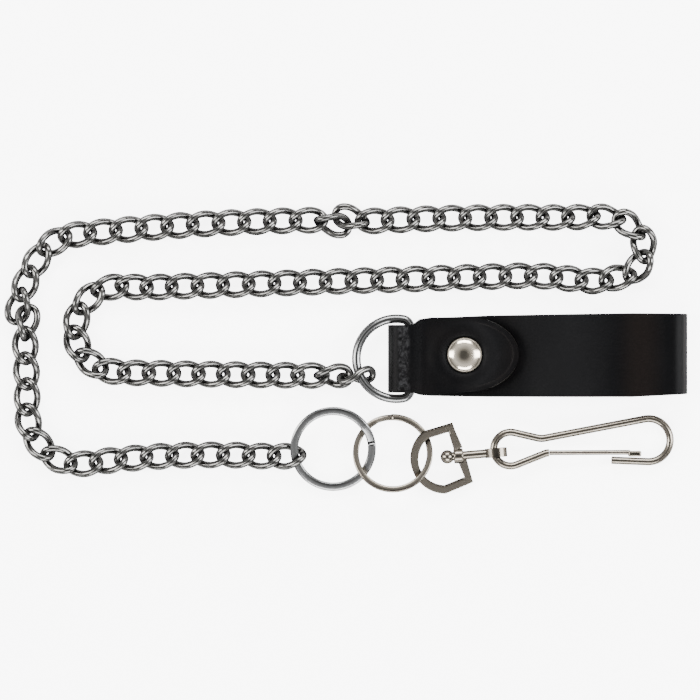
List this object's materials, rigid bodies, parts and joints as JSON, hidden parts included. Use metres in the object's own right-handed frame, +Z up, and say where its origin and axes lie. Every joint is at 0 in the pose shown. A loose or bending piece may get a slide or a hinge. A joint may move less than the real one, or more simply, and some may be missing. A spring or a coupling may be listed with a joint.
{
  "type": "wallet chain",
  "caption": "Curb-link wallet chain with a black leather snap belt loop on a D-ring at one end, and two split rings, a swivel eye and a sprung snap hook at the other.",
  "frame": {"origin": "centre of the footprint on the surface that the chain lies on", "axes": "+X along the leather belt loop, from the D-ring to the loop end; +Y across it in the plane of the surface; +Z up"},
  "size_m": [0.2391, 0.1019, 0.0117],
  "materials": {
    "black_leather": "smooth semi-gloss black, creased at the snap and worn grey over the D-ring bar",
    "chain_nickel": "polished nickel plate",
    "ring_nickel": "polished nickel plate, cool",
    "warm_nickel": "polished nickel plate, slightly warm",
    "stud_nickel": "polished nickel plate"
  },
  "bodies": {
    "strap": {"belt_strap": "black_leather", "snap_stud": "stud_nickel", "snap_post": "stud_nickel"},
    "tab": {"snap_tab": "black_leather", "snap_cap": "stud_nickel", "snap_socket": "stud_nickel"},
    "d_ring": {"d_ring": "ring_nickel"},
    "connector": {"connector_link": "chain_nickel"},
    "chain_01": {"chain_01": "chain_nickel"},
    "chain_02": {"chain_02": "chain_nickel"},
    "chain_03": {"chain_03": "chain_nickel"},
    "chain_04": {"chain_04": "chain_nickel"},
    "chain_05": {"chain_05": "chain_nickel"},
    "chain_06": {"chain_06": "chain_nickel"},
    "chain_07": {"chain_07": "chain_nickel"},
    "chain_08": {"chain_08": "chain_nickel"},
    "chain_09": {"chain_09": "chain_nickel"},
    "chain_10": {"chain_10": "chain_nickel"},
    "chain_11": {"chain_11": "chain_nickel"},
    "chain_12": {"chain_12": "chain_nickel"},
    "chain_13": {"chain_13": "chain_nickel"},
    "chain_14": {"chain_14": "chain_nickel"},
    "chain_15": {"chain_15": "chain_nickel"},
    "chain_16": {"chain_16": "chain_nickel"},
    "chain_17": {"chain_17": "chain_nickel"},
    "chain_18": {"chain_18": "chain_nickel"},
    "chain_19": {"chain_19": "chain_nickel"},
    "chain_20": {"chain_20": "chain_nickel"},
    "chain_21": {"chain_21": "chain_nickel"},
    "chain_22": {"chain_22": "chain_nickel"},
    "chain_23": {"chain_23": "chain_nickel"},
    "chain_24": {"chain_24": "chain_nickel"},
    "chain_25": {"chain_25": "chain_nickel"},
    "chain_26": {"chain_26": "chain_nickel"},
    "chain_27": {"chain_27": "chain_nickel"},
    "chain_28": {"chain_28": "chain_nickel"},
    "chain_29": {"chain_29": "chain_nickel"},
    "chain_30": {"chain_30": "chain_nickel"},
    "chain_31": {"chain_31": "chain_nickel"},
    "chain_32": {"chain_32": "chain_nickel"},
    "chain_33": {"chain_33": "chain_nickel"},
    "chain_34": {"chain_34": "chain_nickel"},
    "chain_35": {"chain_35": "chain_nickel"},
    "chain_36": {"chain_36": "chain_nickel"},
    "chain_37": {"chain_37": "chain_nickel"},
    "chain_38": {"chain_38": "chain_nickel"},
    "chain_39": {"chain_39": "chain_nickel"},
    "chain_40": {"chain_40": "chain_nickel"},
    "chain_41": {"chain_41": "chain_nickel"},
    "chain_42": {"chain_42": "chain_nickel"},
    "chain_43": {"chain_43": "chain_nickel"},
    "chain_44": {"chain_44": "chain_nickel"},
    "chain_45": {"chain_45": "chain_nickel"},
    "ring_large": {"split_ring_large": "ring_nickel"},
    "ring_small": {"split_ring_small": "warm_nickel"},
    "eye": {"swivel_eye": "warm_nickel"},
    "post": {"swivel_post": "warm_nickel"},
    "hook": {"hook_body": "warm_nickel"},
    "gate": {"hook_gate": "warm_nickel"}
  },
  "joints": [
    {"name": "tab_fold", "type": "hinge", "parent": "strap", "child": "tab", "pos_m": [0.0197, 0, 0.0094], "axis": [0, -1, 0], "range_deg": [0, 110]},
    {"name": "d_ring_swing", "type": "hinge", "parent": "strap", "child": "d_ring", "pos_m": [0.0227, -0.00385, 0.00475], "axis": [0, -1, 0], "range_deg": [-75, 75]},
    {"name": "connector_swing", "type": "hinge", "parent": "d_ring", "child": "connector", "pos_m": [0.00506, -0.00954, 0.00475], "axis": [0.4067, -0.9135, 0], "range_deg": [-45, 45]},
    {"name": "chain_01_bend", "type": "hinge", "parent": "connector", "child": "chain_01", "pos_m": [-0.00014, -0.00995, 0.00445], "axis": [0.0365, 0.9993, 0], "range_deg": [-11, 8]},
    {"name": "chain_02_bend", "type": "hinge", "parent": "chain_01", "child": "chain_02", "pos_m": [-0.00825, -0.00976, 0.00382], "axis": [-0.0105, -0.9999, 0], "range_deg": [-11, 15]},
    {"name": "chain_03_bend", "type": "hinge", "parent": "chain_02", "child": "chain_03", "pos_m": [-0.02535, -0.00957, 0.00284], "axis": [0.0113, 0.9999, 0], "range_deg": [-11, 15]},
    {"name": "chain_04_bend", "type": "hinge", "parent": "chain_03", "child": "chain_04", "pos_m": [-0.04275, -0.00935, 0.00284], "axis": [-0.0148, -0.9999, 0], "range_deg": [-11, 15]},
    {"name": "chain_05_bend", "type": "hinge", "parent": "chain_04", "child": "chain_05", "pos_m": [-0.06014, -0.00906, 0.00284], "axis": [0.0183, 0.9998, 0], "range_deg": [-11, 15]},
    {"name": "chain_06_bend", "type": "hinge", "parent": "chain_05", "child": "chain_06", "pos_m": [-0.07753, -0.00852, 0.00292], "axis": [-0.0645, -0.9979, 0], "range_deg": [-11, 15]},
    {"name": "chain_07_bend", "type": "hinge", "parent": "chain_06", "child": "chain_07", "pos_m": [-0.08546, -0.00678, 0.00307], "axis": [0.3778, 0.9259, 0], "range_deg": [-11, 8]},
    {"name": "chain_08_bend", "type": "hinge", "parent": "chain_07", "child": "chain_08", "pos_m": [-0.09143, -0.00195, 0.00329], "axis": [-0.8161, -0.5779, 0], "range_deg": [-11, 6]},
    {"name": "chain_09_bend", "type": "hinge", "parent": "chain_08", "child": "chain_09", "pos_m": [-0.09398, 0.00547, 0.00342], "axis": [0.9992, 0.0401, 0], "range_deg": [-8, 15]},
    {"name": "chain_10_bend", "type": "hinge", "parent": "chain_09", "child": "chain_10", "pos_m": [-0.09208, 0.01328, 0.00327], "axis": [-0.8771, 0.4802, 0], "range_deg": [-11, 11]},
    {"name": "chain_11_bend", "type": "hinge", "parent": "chain_10", "child": "chain_11", "pos_m": [-0.08625, 0.01904, 0.00324], "axis": [0.4664, -0.8846, 0], "range_deg": [-11, 15]},
    {"name": "chain_12_bend", "type": "hinge", "parent": "chain_11", "child": "chain_12", "pos_m": [-0.07824, 0.02115, 0.00339], "axis": [-0.0314, 0.9995, 0], "range_deg": [-11, 8]},
    {"name": "chain_13_bend", "type": "hinge", "parent": "chain_12", "child": "chain_13", "pos_m": [-0.0608, 0.0214, 0.00299], "axis": [0.0314, -0.9995, 0], "range_deg": [-11, 15]},
    {"name": "chain_14_bend", "type": "hinge", "parent": "chain_13", "child": "chain_14", "pos_m": [-0.04283, 0.02196, 0.00284], "axis": [-0.0314, 0.9995, 0], "range_deg": [-11, 15]},
    {"name": "chain_15_bend", "type": "hinge", "parent": "chain_14", "child": "chain_15", "pos_m": [-0.02486, 0.02253, 0.00284], "axis": [0.0314, -0.9995, 0], "range_deg": [-11, 15]},
    {"name": "chain_16_bend", "type": "hinge", "parent": "chain_15", "child": "chain_16", "pos_m": [-0.00689, 0.02309, 0.00284], "axis": [-0.0314, 0.9995, 0], "range_deg": [-11, 15]},
    {"name": "chain_17_bend", "type": "hinge", "parent": "chain_16", "child": "chain_17", "pos_m": [0.01108, 0.02366, 0.00284], "axis": [0.0314, -0.9995, 0], "range_deg": [-11, 15]},
    {"name": "chain_18_bend", "type": "hinge", "parent": "chain_17", "child": "chain_18", "pos_m": [0.02905, 0.02422, 0.00284], "axis": [-0.0314, 0.9995, 0], "range_deg": [-11, 15]},
    {"name": "chain_19_bend", "type": "hinge", "parent": "chain_18", "child": "chain_19", "pos_m": [0.04702, 0.02479, 0.00284], "axis": [0.0314, -0.9995, 0], "range_deg": [-11, 15]},
    {"name": "chain_20_bend", "type": "hinge", "parent": "chain_19", "child": "chain_20", "pos_m": [0.06497, 0.02512, 0.00292], "axis": [0.0209, 0.9998, 0], "range_deg": [-11, 14]},
    {"name": "chain_21_bend", "type": "hinge", "parent": "chain_20", "child": "chain_21", "pos_m": [0.08271, 0.02378, 0.00334], "axis": [-0.0993, -0.9951, 0], "range_deg": [-11, 15]},
    {"name": "chain_22_bend", "type": "hinge", "parent": "chain_21", "child": "chain_22", "pos_m": [0.09898, 0.02646, 0.00387], "axis": [-0.4509, 0.8926, 0], "range_deg": [-11, 9]},
    {"name": "chain_23_bend", "type": "hinge", "parent": "chain_22", "child": "chain_23", "pos_m": [0.10352, 0.03223, 0.00424], "axis": [0.9755, -0.2198, 0], "range_deg": [-11, 15]},
    {"name": "chain_24_bend", "type": "hinge", "parent": "chain_23", "child": "chain_24", "pos_m": [0.10195, 0.03944, 0.00474], "axis": [-0.8007, -0.599, 0], "range_deg": [-8, 15]},
    {"name": "chain_25_bend", "type": "hinge", "parent": "chain_24", "child": "chain_25", "pos_m": [0.09542, 0.04418, 0.00482], "axis": [0.3371, 0.9415, 0], "range_deg": [-11, 8]},
    {"name": "chain_26_bend", "type": "hinge", "parent": "chain_25", "child": "chain_26", "pos_m": [0.0869, 0.04569, 0.00444], "axis": [-0.0122, -0.9999, 0], "range_deg": [-8, 15]},
    {"name": "chain_27_bend", "type": "hinge", "parent": "chain_26", "child": "chain_27", "pos_m": [0.0691, 0.04564, 0.00322], "axis": [0.0035, 1, 0], "range_deg": [-11, 14]},
    {"name": "chain_28_bend", "type": "hinge", "parent": "chain_27", "child": "chain_28", "pos_m": [0.05105, 0.0456, 0.00284], "axis": [0.0096, -1, 0], "range_deg": [-11, 15]},
    {"name": "chain_29_bend", "type": "hinge", "parent": "chain_28", "child": "chain_29", "pos_m": [0.03291, 0.04527, 0.00284], "axis": [-0.027, 0.9996, 0], "range_deg": [-11, 14]},
    {"name": "chain_30_bend", "type": "hinge", "parent": "chain_29", "child": "chain_30", "pos_m": [0.01479, 0.04462, 0.00284], "axis": [0.0445, -0.999, 0], "range_deg": [-11, 15]},
    {"name": "chain_31_bend", "type": "hinge", "parent": "chain_30", "child": "chain_31", "pos_m": [-0.00861, 0.04395, 0.00332], "axis": [0.1513, 0.9885, 0], "range_deg": [-8, 15]},
    {"name": "chain_32_bend", "type": "hinge", "parent": "chain_31", "child": "chain_32", "pos_m": [-0.02645, 0.04431, 0.00284], "axis": [0.0297, -0.9996, 0], "range_deg": [-11, 15]},
    {"name": "chain_33_bend", "type": "hinge", "parent": "chain_32", "child": "chain_33", "pos_m": [-0.04445, 0.04358, 0.00284], "axis": [-0.0506, 0.9987, 0], "range_deg": [-11, 15]},
    {"name": "chain_34_bend", "type": "hinge", "parent": "chain_33", "child": "chain_34", "pos_m": [-0.06244, 0.04248, 0.00284], "axis": [0.0715, -0.9974, 0], "range_deg": [-11, 15]},
    {"name": "chain_35_bend", "type": "hinge", "parent": "chain_34", "child": "chain_35", "pos_m": [-0.0804, 0.04101, 0.00284], "axis": [-0.0924, 0.9957, 0], "range_deg": [-11, 15]},
    {"name": "chain_36_bend", "type": "hinge", "parent": "chain_35", "child": "chain_36", "pos_m": [-0.09791, 0.03833, 0.00299], "axis": [0.3123, -0.95, 0], "range_deg": [-11, 14]},
    {"name": "chain_37_bend", "type": "hinge", "parent": "chain_36", "child": "chain_37", "pos_m": [-0.10998, 0.02657, 0.00297], "axis": [-0.8965, 0.4431, 0], "range_deg": [-11, 15]},
    {"name": "chain_38_bend", "type": "hinge", "parent": "chain_37", "child": "chain_38", "pos_m": [-0.11181, 0.00486, 0.00337], "axis": [0.9978, -0.0663, 0], "range_deg": [-11, 15]},
    {"name": "chain_39_bend", "type": "hinge", "parent": "chain_38", "child": "chain_39", "pos_m": [-0.11159, -0.01268, 0.00297], "axis": [-0.9996, -0.0297, 0], "range_deg": [-11, 15]},
    {"name": "chain_40_bend", "type": "hinge", "parent": "chain_39", "child": "chain_40", "pos_m": [-0.10908, -0.02987, 0.00344], "axis": [0.8973, 0.4415, 0], "range_deg": [-11, 14]},
    {"name": "chain_41_bend", "type": "hinge", "parent": "chain_40", "child": "chain_41", "pos_m": [-0.09601, -0.03993, 0.00312], "axis": [-0.1616, -0.9869, 0], "range_deg": [-11, 11]},
    {"name": "chain_42_bend", "type": "hinge", "parent": "chain_41", "child": "chain_42", "pos_m": [-0.07856, -0.03911, 0.00292], "axis": [-0.095, 0.9955, 0], "range_deg": [-11, 8]},
    {"name": "chain_43_bend", "type": "hinge", "parent": "chain_42", "child": "chain_43", "pos_m": [-0.06071, -0.03788, 0.00284], "axis": [0.0427, -0.9991, 0], "range_deg": [-9, 15]},
    {"name": "chain_44_bend", "type": "hinge", "parent": "chain_43", "child": "chain_44", "pos_m": [-0.04281, -0.03758, 0.00284], "axis": [0.0096, 1, 0], "range_deg": [-11, 9]},
    {"name": "chain_45_bend", "type": "hinge", "parent": "chain_44", "child": "chain_45", "pos_m": [-0.02498, -0.03796, 0.00311], "axis": [-0.0027, -1, 0], "range_deg": [-6, 6]},
    {"name": "ring_large_swing", "type": "hinge", "parent": "chain_45", "child": "ring_large", "pos_m": [-0.0179, -0.0354, 0.0042], "axis": [0, 0.9789, 0.2045], "range_deg": [-8, 8]},
    {"name": "ring_small_swing", "type": "hinge", "parent": "ring_large", "child": "ring_small", "pos_m": [0.00365, -0.0369, 0.00424], "axis": [0, 0.9703, -0.2419], "range_deg": [-22, 37]},
    {"name": "eye_swing", "type": "hinge", "parent": "ring_small", "child": "eye", "pos_m": [0.0278, -0.038, 0.0036], "axis": [0, 1, 0], "range_deg": [-40, 12]},
    {"name": "swivel_turn", "type": "hinge", "parent": "eye", "child": "post", "pos_m": [0.0396, -0.03785, 0.0038], "axis": [0.9963, 0.0854, 0], "continuous": true},
    {"name": "hook_swing", "type": "hinge", "parent": "post", "child": "hook", "pos_m": [0.0519, -0.0356, 0.0037], "axis": [0, 1, 0], "range_deg": [-27, 12]},
    {"name": "gate_open", "type": "hinge", "parent": "hook", "child": "gate", "pos_m": [0.07149, -0.03652, 0.00305], "axis": [0.0332, 0, 0.9995], "range_deg": [0, 10], "stiffness_Nm_per_rad": 0.03, "springref_deg": -2.86}
  ]
}
